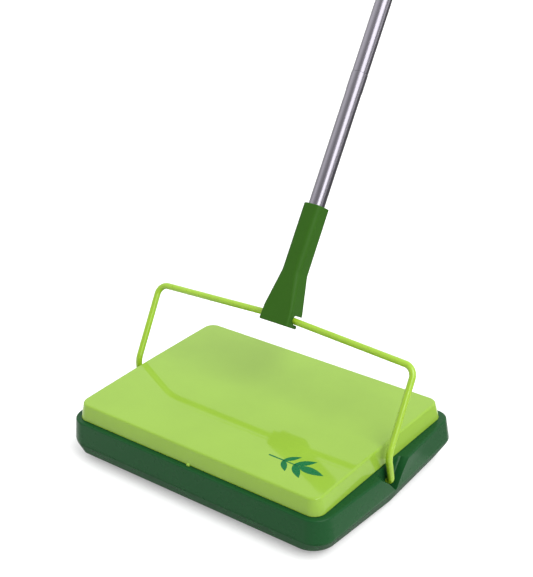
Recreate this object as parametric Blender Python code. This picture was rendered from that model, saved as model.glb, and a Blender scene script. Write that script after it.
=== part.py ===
"""Carpet sweeper: a wheel-driven brush in a low plastic body, pushed by a sectional tube on a wire bail.

Metres, +Z up, +X along the body's long side, +Y towards the back. The origin is on the floor under the
middle of the body. The handle leans back from the bail's pivots, which are in notches in the body's sides.
"""
from math import atan, ceil, cos, pi, radians, sin, sqrt, tau

import bmesh
import bpy
from mathutils import Matrix, Vector

GAP = 0.0003

# Base: levels from its bottom edge to its ledge, as
# (height, half length at the corners, half depth, half length at the bail pivots, corner radius).
BASE_LEVELS = [
    (0.0060, 0.1454, 0.1023, 0.1510, 0.0220),
    (0.0205, 0.1541, 0.1089, 0.1578, 0.0200),
    (0.0415, 0.1513, 0.1070, 0.1585, 0.0190),
    (0.0432, 0.1506, 0.1063, 0.1578, 0.0183),
    (0.0440, 0.1488, 0.1045, 0.1560, 0.0165),
]
BASE_WALL = 0.0025
LEDGE_TOP = BASE_LEVELS[-1][0]
BASE_BOTTOM = BASE_LEVELS[0][0]
ROOF_OPENING = (0.1360, 0.0925, 0.0080)
RIM_OUTER = (0.1417, 0.0980, 0.0125)
RIM_WALL = 0.0020
RIM_TOP = 0.0480

# Notch in each side for the bail: its inner wall, and where its two slopes reach the ledge.
NOTCH_WALL = 0.1480
NOTCH_WALL_THICKNESS = 0.0025
NOTCH_TIP = (0.0005, 0.0205)
NOTCH_INNER = (-0.0175, 0.0195)
NOTCH_OUTER = (-0.0235, 0.0250)
NOTCH_OUTER_X = 0.1585
NOTCH_BLOCK = 0.0300

# Cover.
COVER_BOTTOM = LEDGE_TOP + GAP
COVER_TOP = 0.0620
COVER_FOOT = (0.1456, 0.1019, 0.0145)
COVER_HEAD = (0.1425, 0.0989, 0.0122)
COVER_EDGE = 0.0022
COVER_WALL = 0.0022
NIB = (0.0022, 0.0016, 0.0030)

# Bail: one bent rod, and the point where it turns in the base.
BAIL_RADIUS = 0.0032
PIVOT_Z = 0.0280
BAIL_END_X = 0.1395
BAIL_LEG_X = 0.1530
BAIL_KNEE = (0.1532, -0.0046, 0.0585)
BAIL_CORNER = (0.1537, 0.0380, 0.1293)
BAIL_PEAK = (0.0, 0.0418, 0.1350)
BAIL_BENDS = [0.0055, 0.022, 0.011, 0.040, 0.011, 0.022, 0.0055]

# Bush in the notch's wall round each end of the bail, and the cap pressed on behind it.
BUSH_RADIUS = 0.0053
BUSH_FLANGE = (0.0078, 0.0018)
BUSH_PROUD = 0.0004
CAP_ENDS = (0.1403, 0.1430)
CAP_RADIUS = 0.0062

# Handle: the tube's axis leans back, and passes just in front of the middle of the crossbar.
HANDLE_LEAN = radians(34.3)
BAR_HEIGHT = 0.0069
BAR_BEHIND = 0.0014
TUBE_RADIUS = 0.00795
TUBE_WALL = 0.0008
TUBE_START = 0.0107
JOINT_HEIGHTS = [0.252, 0.477, 0.702, 0.927]
SPIGOT_LENGTH = 0.024
SPIGOT_RADIUS = 0.0068
MOUTH_RADIUS = 0.0082
MOUTH_LENGTH = 0.020
SOCKET_TOP = 0.1170

# Socket: its sections up the handle, as (height, width, depth, centre's depth, corner radius), and the
# channel that hooks over the crossbar.
SOCKET_SECTIONS = [
    (0.0, 0.0362, 0.0198, 0.0004, 0.0028),
    (0.0137, 0.0352, 0.0200, 0.0004, 0.0032),
    (0.0490, 0.0212, 0.0208, 0.0006, 0.0060),
    (SOCKET_TOP, 0.0208, 0.0208, 0.0006, 0.0060),
]
HOOK_RADIUS = 0.0044
HOOK_LIP = 0.0064
SOCKET_BORE = TUBE_RADIUS + 0.00025
GRIP_START = 0.842
GRIP_TOP = 0.986
HANG_HOLE = (0.966, 0.0055)

# Grip: its outline up the handle, as (height, half width, half depth).
GRIP_LEVELS = [
    (GRIP_START, 0.0112, 0.0112), (GRIP_START + 0.0015, 0.0124, 0.0124),
    (GRIP_START + 0.0045, 0.0124, 0.0124), (GRIP_START + 0.008, 0.0108, 0.0108),
    (0.880, 0.0116, 0.0116), (0.905, 0.0116, 0.0116), (0.930, 0.0108, 0.0110),
    (0.942, 0.0092, 0.0118), (0.954, 0.0058, 0.0124), (0.972, 0.0050, 0.0118),
    (0.981, 0.0046, 0.0092), (GRIP_TOP, 0.0034, 0.0044),
]

# Running gear.
AXLE_RADIUS = 0.0023
AXLE_ENDS = (0.1113, 0.1388)
AXLE_HEAD = (0.0038, 0.0013)
SPRING_X = 0.1354
SPRING_WIRE = 0.0008
SPRING_CREST = [(0.72, 0.0335), (0.40, 0.0388), (0.0, 0.0395)]
WHEEL_RADIUS = 0.0250
TYRE_DEPTH = 0.0040
WHEEL_WIDTH = 0.0110
WHEEL_X = 0.1228
DISC_RADIUS = 0.0200
DISC_WIDTH = 0.0100
BRUSH_Z = 0.0290
BRISTLE_RADIUS = 0.0283
CORE_RADIUS = 0.0120
CORE_HALF_LENGTH = 0.1085
BRISTLE_ROWS = 4
BRUSH_ROD_RADIUS = 0.0020
BRUSH_ROD_END = 0.1370
WHEEL_Y = sqrt((WHEEL_RADIUS + DISC_RADIUS + GAP) ** 2 - (BRUSH_Z - WHEEL_RADIUS) ** 2)

# Brackets: each is two plates and two webs, and carries two wheels and one end of the brush.
BRACKET_PLATES = [(0.1120, 0.1145), (0.1310, 0.1335)]
BRACKET_HALF_DEPTH = 0.0980
BRACKET_BOTTOM = 0.0075
BRACKET_TOP = 0.0412
WEB_START = 0.0790
WEB_BOTTOM = 0.0388
BRUSH_SLOTS = [0.0080, 0.0050]
BEARING_ENDS = (0.1303, 0.1350)
BEARING_FLANGE_ENDS = (0.1338, 0.1358)
BEARING_FLANGE_HALF = 0.0068
SCREW_AT = (0.1227, 0.0860)
SCREW_RADIUS = 0.0015
SCREW_HEAD_RADIUS = 0.0034
BOSS_RADIUS = 0.0040

# Dust pans: the rear one's section, as (depth, height); the front one mirrors it.
PAN_HALF_LENGTH = 0.1105
PAN_WALL = 0.0018
PAN_INNER = 0.0335
PAN_OUTER = 0.0972
PAN_BOTTOM = 0.0080
PAN_LIP = 0.0205
PAN_TOP = 0.0340
PAN_SHOULDER = 0.0620
PAN_HINGE = (0.0940, 0.0115)
HINGE_ROD_RADIUS = 0.0015
HINGE_ROD_END = 0.1158
PAN_RIBS = [-0.075, -0.045, 0.045, 0.075]
FINGER_TAB = (0.013, 0.007)
HINGE_BARREL_RADIUS = 0.0033

ROUND = 20
SIDES = {"left": -1, "right": 1}
ENDS = {"front": -1, "rear": 1}


def clear_scene():
    for obj in list(bpy.data.objects):
        bpy.data.objects.remove(obj, do_unlink=True)


def make_material(name, colour, roughness, metallic=0.0):
    material = bpy.data.materials.new(name)
    material.use_nodes = True
    shader = material.node_tree.nodes["Principled BSDF"]
    shader.inputs["Base Color"].default_value = (*colour, 1.0)
    shader.inputs["Roughness"].default_value = roughness
    shader.inputs["Metallic"].default_value = metallic
    return material


# ---------------------------------------------------------------- meshes

def add_object(name, bm, material):
    """A mesh object from a bmesh, as triangles that are turned outwards."""
    bmesh.ops.recalc_face_normals(bm, faces=bm.faces)
    bmesh.ops.triangulate(bm, faces=bm.faces)
    mesh = bpy.data.meshes.new(name)
    bm.to_mesh(mesh)
    bm.free()
    if material:
        mesh.materials.append(material)
    obj = bpy.data.objects.new(name, mesh)
    bpy.context.scene.collection.objects.link(obj)
    shade(obj)
    return obj


def shade(obj, angle=35.0):
    obj.data.shade_smooth()
    obj.data.set_sharp_from_angle(angle=radians(angle))


def loft(name, rings, material=None):
    """A closed solid through rings of points, each ring with the same number of points."""
    bm = bmesh.new()
    layers = [[bm.verts.new(point) for point in ring] for ring in rings]
    for low, high in zip(layers, layers[1:]):
        for i, vert in enumerate(low):
            j = (i + 1) % len(low)
            bm.faces.new((vert, low[j], high[j], high[i]))
    bm.faces.new(layers[0])
    bm.faces.new(layers[-1])
    return add_object(name, bm, material)


def box(name, low, high, material=None):
    (x0, y0, z0), (x1, y1, z1) = low, high
    rings = [[(x0, y0, z), (x1, y0, z), (x1, y1, z), (x0, y1, z)] for z in (z0, z1)]
    return loft(name, rings, material)


def across(name, section, x0, x1, material=None):
    """A solid of one (y, z) section, from x0 to x1."""
    return loft(name, [[(x, y, z) for y, z in section] for x in (x0, x1)], material)


def turned(name, profile, material=None, segments=ROUND):
    """A solid turned about X, from its (x, radius) profile: closed unless it ends on the axis."""
    bm = bmesh.new()
    verts = [bm.verts.new((x, radius, 0.0)) for x, radius in profile]
    edges = [bm.edges.new(pair) for pair in zip(verts, verts[1:])]
    if profile[0][1] > 0.0:
        edges.append(bm.edges.new((verts[-1], verts[0])))
    bmesh.ops.spin(bm, geom=verts + edges, axis=(1, 0, 0), cent=(0, 0, 0), angle=tau, steps=segments,
                   use_merge=True)
    bmesh.ops.remove_doubles(bm, verts=bm.verts, dist=1e-6)
    return add_object(name, bm, material)


def rod(name, x0, x1, radius, material=None, segments=16):
    return turned(name, [(x0, 0.0), (x0, radius), (x1, radius), (x1, 0.0)], material, segments)


def pipe(name, x0, x1, inner, outer, material=None, segments=ROUND):
    return turned(name, [(x0, inner), (x0, outer), (x1, outer), (x1, inner)], material, segments)


def wire(name, points, radius, material, resolution):
    """A round rod along the given points, with closed ends."""
    curve = bpy.data.curves.new(name, "CURVE")
    curve.dimensions = "3D"
    curve.bevel_depth = radius
    curve.bevel_resolution = resolution
    curve.use_fill_caps = True
    spline = curve.splines.new("POLY")
    spline.points.add(len(points) - 1)
    for point, place in zip(spline.points, points):
        point.co = (*place, 1.0)
    curve.materials.append(material)
    obj = bpy.data.objects.new(name, curve)
    bpy.context.scene.collection.objects.link(obj)
    return obj


def place(obj, x=0.0, y=0.0, z=0.0):
    """Moves the mesh inside its object, so the object's own origin stays where it is."""
    obj.data.transform(Matrix.Translation((x, y, z)))
    return obj


def combine(obj, tool, operation):
    """Applies a Boolean to the object and removes the tool."""
    modifier = obj.modifiers.new("boolean", "BOOLEAN")
    modifier.operation = operation
    modifier.solver = "EXACT"
    modifier.object = tool
    evaluated = obj.evaluated_get(bpy.context.evaluated_depsgraph_get())
    mesh = bpy.data.meshes.new_from_object(evaluated)
    obj.modifiers.clear()
    obj.data = mesh
    merge_flat_faces(mesh)
    shade(obj)
    bpy.data.objects.remove(tool, do_unlink=True)


def merge_flat_faces(mesh):
    """Joins the pieces that each flat face was cut into, and splits it again into few triangles."""
    bm = bmesh.new()
    bm.from_mesh(mesh)
    bmesh.ops.dissolve_limit(bm, angle_limit=radians(0.1), verts=bm.verts, edges=bm.edges)
    bmesh.ops.triangulate(bm, faces=bm.faces)
    bm.to_mesh(mesh)
    bm.free()


def cut(obj, *tools):
    for tool in tools:
        combine(obj, tool, "DIFFERENCE")


def join(obj, *tools):
    for tool in tools:
        combine(obj, tool, "UNION")


def add_pivot(name, location, rotation=(0.0, 0.0, 0.0), parent=None):
    pivot = bpy.data.objects.new(name, None)
    bpy.context.scene.collection.objects.link(pivot)
    pivot.location = location
    pivot.rotation_euler = rotation
    pivot.parent = parent
    return pivot


def hang(obj, pivot):
    """Parents an object, modelled in place, to a pivot that has a location only."""
    obj.data.transform(Matrix.Translation(-pivot.location))
    obj.parent = pivot


# ---------------------------------------------------------------- outlines

def arc_points(start, corner, end, radius, steps):
    """The round that replaces a corner between two straight runs."""
    corner, start, end = Vector(corner), Vector(start), Vector(end)
    inward, outward = (start - corner).normalized(), (end - corner).normalized()
    half = inward.angle(outward) / 2
    centre = corner + (inward + outward).normalized() * (radius / sin(half))
    first = corner + inward * (radius * cos(half) / sin(half)) - centre
    last = corner + outward * (radius * cos(half) / sin(half)) - centre
    turn = first.angle(last)
    return [centre + (first * sin(turn * (1 - k / steps)) + last * sin(turn * k / steps)) / sin(turn)
            for k in range(steps + 1)]


def rounded(corners, radii, steps=5):
    """A closed outline with its corners rounded; a corner of radius 0 stays sharp."""
    points = []
    for i, (corner, radius) in enumerate(zip(corners, radii)):
        if radius == 0:
            points.append(Vector(corner))
            continue
        points += arc_points(corners[i - 1], corner, corners[(i + 1) % len(corners)], radius, steps)
    return points


def rectangle(half_x, half_y, radius, steps=5):
    corners = [(half_x, -half_y), (half_x, half_y), (-half_x, half_y), (-half_x, -half_y)]
    return rounded(corners, [radius] * 4, steps)


def base_outline(half_length, half_depth, half_middle, radius):
    """The base's plan: a rectangle whose sides bulge to a blunt point at the bail's pivots."""
    corners = [(half_length, -half_depth), (half_middle, 0.0), (half_length, half_depth),
               (-half_length, half_depth), (-half_middle, 0.0), (-half_length, -half_depth)]
    return rounded(corners, [radius, 0, radius] * 2)


def at_height(outline, z):
    return [(x, y, z) for x, y in outline]


def bent_path(points, radii, step=radians(15)):
    """An open path through 3-D points, with each inner corner bent to its radius."""
    path = [Vector(points[0])]
    for before, corner, after, radius in zip(points, points[1:], points[2:], radii):
        turn = pi - (Vector(before) - Vector(corner)).angle(Vector(after) - Vector(corner))
        path += arc_points(before, corner, after, radius, max(2, ceil(turn / step)))
    return path + [Vector(points[-1])]


# ---------------------------------------------------------------- body

def notch_cutter(side):
    """The wedge cut from one side of the base, wider towards the outside."""
    tip_y, tip_z = NOTCH_TIP
    top = LEDGE_TOP + 0.004
    rings = []
    for x in (NOTCH_WALL, NOTCH_OUTER_X + 0.006):
        reach = (x - NOTCH_WALL) / (NOTCH_OUTER_X - NOTCH_WALL)
        rise = (top - tip_z) / (LEDGE_TOP - tip_z)
        front, rear = [inner + (outer - inner) * reach for inner, outer in zip(NOTCH_INNER, NOTCH_OUTER)]
        rings.append([(side * x, tip_y, tip_z),
                      (side * x, tip_y + (rear - tip_y) * rise, top),
                      (side * x, tip_y + (front - tip_y) * rise, top)])
    return loft("notch_cutter", rings)


def base_hollow():
    """The space inside the base's walls, up to the underside of its ledge."""
    rings = []
    for z, half_length, half_depth, half_middle, radius in BASE_LEVELS[:3]:
        outline = base_outline(half_length - BASE_WALL, half_depth - BASE_WALL, half_middle - BASE_WALL,
                               radius - BASE_WALL)
        rings.append(at_height(outline, z if z > BASE_BOTTOM else BASE_BOTTOM - 0.001))
    hollow = loft("hollow", rings)
    inside = NOTCH_WALL - NOTCH_WALL_THICKNESS
    for side in SIDES.values():
        x0, x1 = sorted((side * inside, side * 0.17))
        cut(hollow, box("block", (x0, -NOTCH_BLOCK, 0.0), (x1, NOTCH_BLOCK, 0.06)))
    return hollow


def make_base(material):
    rings = [at_height(base_outline(*level[1:]), level[0]) for level in BASE_LEVELS]
    base = loft("base_shell", rings, material)
    opening = rectangle(*ROOF_OPENING)
    cut(base, base_hollow(), loft("opening", [at_height(opening, z) for z in (0.035, 0.046)]))
    half_x, half_y, radius = RIM_OUTER
    rim_inner = rectangle(half_x - RIM_WALL, half_y - RIM_WALL, radius - RIM_WALL)
    rim = loft("rim", [at_height(rectangle(*RIM_OUTER), z) for z in (LEDGE_TOP - 0.001, RIM_TOP)])
    cut(rim, loft("rim_inner", [at_height(rim_inner, z) for z in (LEDGE_TOP - 0.002, RIM_TOP + 0.001)]))
    join(base, rim)
    for side in SIDES.values():
        hole = place(rod("bush_hole", side * (NOTCH_WALL - 0.008), side * (NOTCH_WALL + 0.007), BUSH_RADIUS + GAP,
                         segments=ROUND), z=PIVOT_Z)
        cut(base, notch_cutter(side), hole)
    return base


def make_cover(material):
    half_x, half_y, radius = COVER_FOOT
    top_x, top_y, top_radius = COVER_HEAD
    slope = (half_x - top_x) / (COVER_TOP - COVER_BOTTOM)
    shoulder = COVER_TOP - COVER_EDGE
    levels = [(COVER_BOTTOM, 0.0)]
    for k in range(5):
        bend = k * pi / 8
        levels.append((shoulder + COVER_EDGE * sin(bend),
                       slope * (shoulder - COVER_BOTTOM) + COVER_EDGE * (1 - cos(bend))))
    rings = [at_height(rectangle(half_x - inset, half_y - inset, radius - 0.6 * inset), z)
             for z, inset in levels]
    cover = loft("cover", rings, material)
    wall = COVER_WALL
    hollow = [at_height(rectangle(half_x - wall, half_y - wall, radius - wall), COVER_BOTTOM - 0.001),
              at_height(rectangle(top_x - wall, top_y - wall, top_radius - wall), COVER_TOP - wall)]
    cut(cover, loft("cover_hollow", hollow))
    width, reach, height = NIB
    nib = [(-half_y + 0.001, COVER_BOTTOM + height), (-half_y + 0.001, COVER_BOTTOM),
           (-half_y - reach, COVER_BOTTOM), (-half_y - reach, COVER_BOTTOM + 0.001)]
    join(cover, across("nib", nib, -width, width))
    for x in (-SCREW_AT[0], SCREW_AT[0]):
        for y in (-SCREW_AT[1], SCREW_AT[1]):
            join(cover, upright("boss", x, y, BRACKET_TOP + GAP, COVER_TOP - 0.001, BOSS_RADIUS))
            cut(cover, upright("pilot", x, y, BRACKET_TOP - 0.001, 0.0580, SCREW_RADIUS + 0.0003))
    return cover


def upright(name, x, y, z0, z1, radius, material=None, segments=12):
    """A vertical round pin."""
    ring = [(x + radius * cos(tau * k / segments), y + radius * sin(tau * k / segments))
            for k in range(segments)]
    return loft(name, [at_height(ring, z0), at_height(ring, z1)], material)


def make_screw(name, x, y, material):
    head_top = WEB_BOTTOM - GAP
    head = upright(name, x, y, head_top - 0.0022, head_top, SCREW_HEAD_RADIUS, material, 16)
    slot = [(x - 0.005, y - 0.0005), (x + 0.005, y - 0.0005), (x + 0.005, y + 0.0005),
            (x - 0.005, y + 0.0005)]
    join(head, upright("shank", x, y, head_top - 0.001, 0.0560, SCREW_RADIUS))
    cut(head, loft("drive", [at_height(slot, head_top - 0.003), at_height(slot, head_top - 0.0012)]))
    return head


# ---------------------------------------------------------------- running gear

def slotted_plate(half_slot):
    """A bracket plate's section, with a slot for the brush that is open at the bottom."""
    steps = 8
    crown = [(half_slot * cos(pi * k / steps), BRUSH_Z + half_slot * sin(pi * k / steps))
             for k in range(steps + 1)]
    return [(BRACKET_HALF_DEPTH, BRACKET_BOTTOM), (BRACKET_HALF_DEPTH, BRACKET_TOP),
            (-BRACKET_HALF_DEPTH, BRACKET_TOP), (-BRACKET_HALF_DEPTH, BRACKET_BOTTOM),
            (-half_slot, BRACKET_BOTTOM), *reversed(crown), (half_slot, BRACKET_BOTTOM)]


def make_bracket(name, side, material):
    (inner, outer), (slot_inner, slot_outer) = BRACKET_PLATES, BRUSH_SLOTS
    bracket = across(name, slotted_plate(slot_inner), side * inner[0], side * inner[1], material)
    join(bracket, across("plate", slotted_plate(slot_outer), side * outer[0], side * outer[1]))
    x0, x1 = sorted((side * (inner[0] + 0.001), side * (outer[1] - 0.001)))
    for end in ENDS.values():
        y0, y1 = sorted((end * WEB_START, end * (BRACKET_HALF_DEPTH - 0.001)))
        join(bracket, box("web", (x0, y0, WEB_BOTTOM), (x1, y1, BRACKET_TOP - 0.0002)))
        screw_hole = upright("hole", side * SCREW_AT[0], end * SCREW_AT[1], 0.035, 0.045, SCREW_RADIUS + 0.0005)
        axle_hole = place(rod("hole", side * 0.110, side * 0.136, AXLE_RADIUS + GAP),
                          y=end * WHEEL_Y, z=WHEEL_RADIUS)
        pan_hole = place(rod("hole", side * 0.110, side * 0.116, HINGE_ROD_RADIUS + GAP),
                         y=end * PAN_HINGE[0], z=PAN_HINGE[1])
        cut(bracket, screw_hole, axle_hole, pan_hole)
    return bracket


def make_wheel(label, side, pivot, hub_material, tyre_material):
    """A hub with a recessed web, and a tyre with a crowned tread."""
    half = WHEEL_WIDTH / 2
    seat = WHEEL_RADIUS - TYRE_DEPTH
    bore = AXLE_RADIUS + GAP
    hub = turned(f"wheel_hub_{label}", [
        (-half, bore), (-half, 0.0058), (-half + 0.003, 0.0065), (-half + 0.003, seat - 0.0035),
        (-half, seat - 0.0028), (-half, seat), (half, seat), (half, seat - 0.0028),
        (half - 0.003, seat - 0.0035), (half - 0.003, 0.0065), (half, 0.0058), (half, bore)], hub_material)
    tyre = turned(f"wheel_tyre_{label}", [
        (-half, seat + GAP), (-half, WHEEL_RADIUS - 0.0012), (-half + 0.0012, WHEEL_RADIUS),
        (half - 0.0012, WHEEL_RADIUS), (half, WHEEL_RADIUS - 0.0012), (half, seat + GAP)],
        tyre_material, 32)
    for piece in (hub, tyre):
        place(piece, x=side * WHEEL_X, y=pivot.location.y, z=pivot.location.z)
        hang(piece, pivot)


def make_wheel_axle(label, side, y, material):
    """A headed pin through both plates of a bracket."""
    head_radius, head_height = AXLE_HEAD
    tip, end = AXLE_ENDS
    shoulder = end - head_height
    pin = turned(f"wheel_axle_{label}", [
        (side * tip, 0.0), (side * tip, AXLE_RADIUS), (side * shoulder, AXLE_RADIUS),
        (side * shoulder, head_radius), (side * end, head_radius), (side * end, 0.0)], material, 12)
    return place(pin, y=y, z=WHEEL_RADIUS)


def make_wheel_spring(label, side, material):
    """A bent wire that draws the front and rear wheels onto the brush's discs."""
    x = side * SPRING_X
    hook = AXLE_RADIUS + GAP + SPRING_WIRE
    loop = [(x, WHEEL_Y + hook * cos(bend), WHEEL_RADIUS + hook * sin(bend))
            for bend in (radians(-120 + 30 * k) for k in range(8))]
    crest = [(x, WHEEL_Y * share, height) for share, height in SPRING_CREST]
    half = loop + crest
    mirrored = [(px, -py, pz) for px, py, pz in reversed(half[:-1])]
    return wire(f"wheel_spring_{label}", half + mirrored, SPRING_WIRE, material, 1)


def make_bearing(label, side, material):
    """A plastic block that snaps into the outer plate's slot and holds the brush rod."""
    half = BRUSH_SLOTS[1] - GAP
    steps = 8
    crown = [(half * cos(pi * k / steps), BRUSH_Z + half * sin(pi * k / steps)) for k in range(steps + 1)]
    section = [(half, BRUSH_Z - 0.008), *crown, (-half, BRUSH_Z - 0.008)]
    wide = BEARING_FLANGE_HALF
    flange = [(wide, BRUSH_Z - 0.010), (wide, BRUSH_Z + 0.007), (-wide, BRUSH_Z + 0.007),
              (-wide, BRUSH_Z - 0.010)]
    bearing = across(f"brush_bearing_{label}", section, side * BEARING_ENDS[0], side * BEARING_ENDS[1],
                     material)
    join(bearing, across("flange", flange, side * BEARING_FLANGE_ENDS[0], side * BEARING_FLANGE_ENDS[1]))
    cut(bearing, place(rod("bore", side * 0.128, side * 0.138, BRUSH_ROD_RADIUS + GAP), z=BRUSH_Z))
    return bearing


def bristle_row(index, material):
    """A strip of bristles that winds half a turn along the brush."""
    steps = 18
    half_width = 0.0017
    length = CORE_HALF_LENGTH - 0.0015
    rings = []
    for k in range(steps + 1):
        turn = tau * index / BRISTLE_ROWS + pi * k / steps
        out = Vector((0.0, cos(turn), sin(turn)))
        side = Vector((0.0, -sin(turn), cos(turn))) * half_width
        along = Vector((length * (2 * k / steps - 1), 0.0, 0.0))
        root, tip = out * (CORE_RADIUS + 0.0006), out * (BRISTLE_RADIUS - 0.0001)
        rings.append([along + root - side, along + tip - side, along + tip + side, along + root + side])
    return loft(f"bristle_row_{index + 1}", rings, material)


def make_brush(pivot, core_material, bristle_material, disc_material, steel):
    bore = BRUSH_ROD_RADIUS + GAP
    pieces = [bristle_row(index, bristle_material) for index in range(BRISTLE_ROWS)]
    pieces.append(pipe("brush_core", -CORE_HALF_LENGTH, CORE_HALF_LENGTH, bore, CORE_RADIUS, core_material))
    pieces.append(rod("brush_rod", -BRUSH_ROD_END, BRUSH_ROD_END, BRUSH_ROD_RADIUS, steel))
    half = DISC_WIDTH / 2
    for label, side in SIDES.items():
        disc = turned(f"drive_disc_{label}", [
            (-half, bore), (-half, 0.0070), (-half + 0.0030, 0.0085), (-half + 0.0030, 0.0150),
            (-half, 0.0165), (-half, DISC_RADIUS), (half, DISC_RADIUS), (half, bore)],
            disc_material)
        pieces.append(place(disc, x=side * WHEEL_X))
    for piece in pieces:
        piece.parent = pivot


def make_pan(label, end, pivot, material):
    """A tray that is hinged along its outer edge, and drops open at the edge by the brush."""
    wall = PAN_WALL
    outer = [(PAN_INNER, PAN_BOTTOM), (PAN_OUTER - 0.002, PAN_BOTTOM), (PAN_OUTER, PAN_BOTTOM + 0.002),
             (PAN_OUTER, PAN_TOP), (PAN_SHOULDER, PAN_TOP), (PAN_INNER, PAN_LIP)]
    inner = [(PAN_INNER + wall, PAN_BOTTOM + wall), (PAN_OUTER - wall, PAN_BOTTOM + wall),
             (PAN_OUTER - wall, PAN_TOP + 0.002), (PAN_INNER + wall, PAN_TOP + 0.002)]
    tray = across(f"{label}_dust_pan", [(end * y, z) for y, z in outer], -PAN_HALF_LENGTH, PAN_HALF_LENGTH,
                  material)
    inside = PAN_HALF_LENGTH - wall
    hinge_y, hinge_z = end * PAN_HINGE[0], PAN_HINGE[1]
    cut(tray, across("tray", [(end * y, z) for y, z in inner], -inside, inside))
    barrel_end = PAN_HALF_LENGTH - 0.0005
    tab_half, tab_reach = FINGER_TAB
    y0, y1 = sorted((end * (PAN_INNER - tab_reach), end * (PAN_INNER + 0.001)))
    join(tray,
         place(rod("barrel", -barrel_end, barrel_end, HINGE_BARREL_RADIUS), y=hinge_y, z=hinge_z),
         box("finger_tab", (-tab_half, y0, PAN_BOTTOM + 0.0002), (tab_half, y1, PAN_BOTTOM + wall - 0.0003)))
    cut(tray, place(rod("bore", -0.12, 0.12, HINGE_ROD_RADIUS + GAP), y=hinge_y, z=hinge_z))
    for x in PAN_RIBS:
        y0, y1 = sorted((end * (PAN_INNER + 0.006), end * (PAN_OUTER - 0.012)))
        join(tray, box("rib", (x - 0.001, y0, PAN_BOTTOM - 0.0008), (x + 0.001, y1, PAN_BOTTOM + 0.0005)))
    hang(tray, pivot)


# ---------------------------------------------------------------- handle

def make_bail(pivot, material):
    inward = [Vector((BAIL_END_X, 0.0, PIVOT_Z)), Vector((BAIL_LEG_X, 0.0, PIVOT_Z)), Vector(BAIL_KNEE),
              Vector(BAIL_CORNER)]
    mirrored = [Vector((-point.x, point.y, point.z)) for point in reversed(inward)]
    points = inward + [Vector(BAIL_PEAK)] + mirrored
    path = bent_path(points, BAIL_BENDS)
    bail = wire("bail", [point - pivot.location for point in path], BAIL_RADIUS, material, 3)
    bail.parent = pivot


def make_bail_fittings(label, side, pivot, bush_material, cap_material):
    """The bush in the notch's wall, and the cap pressed on the rod's end behind it."""
    inner_face = NOTCH_WALL - NOTCH_WALL_THICKNESS
    bore = BAIL_RADIUS + GAP
    flange_radius, flange_reach = BUSH_FLANGE
    flange_end, step, tip = inner_face - flange_reach, inner_face - GAP, NOTCH_WALL + BUSH_PROUD
    bush = turned(f"bail_bush_{label}", [
        (side * flange_end, bore), (side * flange_end, flange_radius), (side * step, flange_radius),
        (side * step, BUSH_RADIUS), (side * tip, BUSH_RADIUS), (side * tip, bore)], bush_material, 16)
    place(bush, z=PIVOT_Z)
    cap = pipe(f"bail_cap_{label}", side * CAP_ENDS[0], side * CAP_ENDS[1], bore, CAP_RADIUS, cap_material, 16)
    place(cap, z=PIVOT_Z)
    hang(cap, pivot)


def socket_section(z, width, depth, centre_y, radius):
    return [(x, y + centre_y, z) for x, y in rectangle(width / 2, depth / 2, radius, 3)]


def make_socket(pivot, material):
    """The moulded piece that hooks over the crossbar and takes the tube, along the handle's own Z."""
    socket = loft("handle_socket", [socket_section(*section) for section in SOCKET_SECTIONS], material)
    steps = 6
    arc = [(BAR_BEHIND - HOOK_RADIUS * sin(pi * k / steps), BAR_HEIGHT + HOOK_RADIUS * cos(pi * k / steps))
           for k in range(steps + 1)]
    widest, deepest = SOCKET_SECTIONS[0][1], SOCKET_SECTIONS[0][2]
    channel = [*arc, (HOOK_LIP, BAR_HEIGHT - HOOK_RADIUS - 0.0004), (HOOK_LIP, -0.001), (deepest, -0.001),
               (deepest, BAR_HEIGHT + HOOK_RADIUS)]
    cut(socket, across("channel", channel, -widest, widest),
        along_handle(rod("bore", TUBE_START - GAP, SOCKET_TOP + 0.001, SOCKET_BORE, segments=ROUND)))
    socket.parent = pivot


def along_handle(obj):
    """Turns a piece made along X to lie along Z."""
    obj.data.transform(Matrix.Rotation(-pi / 2, 4, "Y"))
    return obj


def make_tubes(pivot, material):
    """Thin tubes: each upper one has a narrowed end that pushes into the mouth of the one below."""
    starts = [TUBE_START] + JOINT_HEIGHTS[:-1]
    for index, (start, end) in enumerate(zip(starts, JOINT_HEIGHTS)):
        outer = [(end - MOUTH_LENGTH, TUBE_RADIUS), (end - MOUTH_LENGTH + 0.001, MOUTH_RADIUS),
                 (end, MOUTH_RADIUS), (end, MOUTH_RADIUS - TUBE_WALL)]
        if index == 0:
            narrow = [(start, TUBE_RADIUS - TUBE_WALL), (start, TUBE_RADIUS)]
        else:
            start += GAP
            spigot = start - SPIGOT_LENGTH
            narrow = [(start + 0.001, TUBE_RADIUS - TUBE_WALL), (start - 0.001, SPIGOT_RADIUS - TUBE_WALL),
                      (spigot, SPIGOT_RADIUS - TUBE_WALL), (spigot, SPIGOT_RADIUS),
                      (start - 0.0005, SPIGOT_RADIUS), (start, TUBE_RADIUS)]
        bell = [(end - MOUTH_LENGTH + 0.001, MOUTH_RADIUS - TUBE_WALL),
                (end - MOUTH_LENGTH, TUBE_RADIUS - TUBE_WALL)]
        tube = along_handle(turned(f"handle_tube_{index + 1}", narrow + outer + bell, material))
        tube.parent = pivot


def make_grip(pivot, material):
    """A sleeve over the top of the tube, flattened at its end round a hole to hang it by."""
    rings = [[(half_x * cos(tau * k / ROUND), half_y * sin(tau * k / ROUND), z) for k in range(ROUND)]
             for z, half_x, half_y in GRIP_LEVELS]
    grip = loft("handle_grip", rings, material)
    height, radius = HANG_HOLE
    bore = along_handle(rod("bore", GRIP_START - 0.001, JOINT_HEIGHTS[-1] + 0.001, MOUTH_RADIUS + GAP,
                            segments=ROUND))
    cut(grip, bore, place(rod("hang_hole", -0.02, 0.02, radius), z=height))
    grip.parent = pivot


# ---------------------------------------------------------------- assembly

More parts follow.
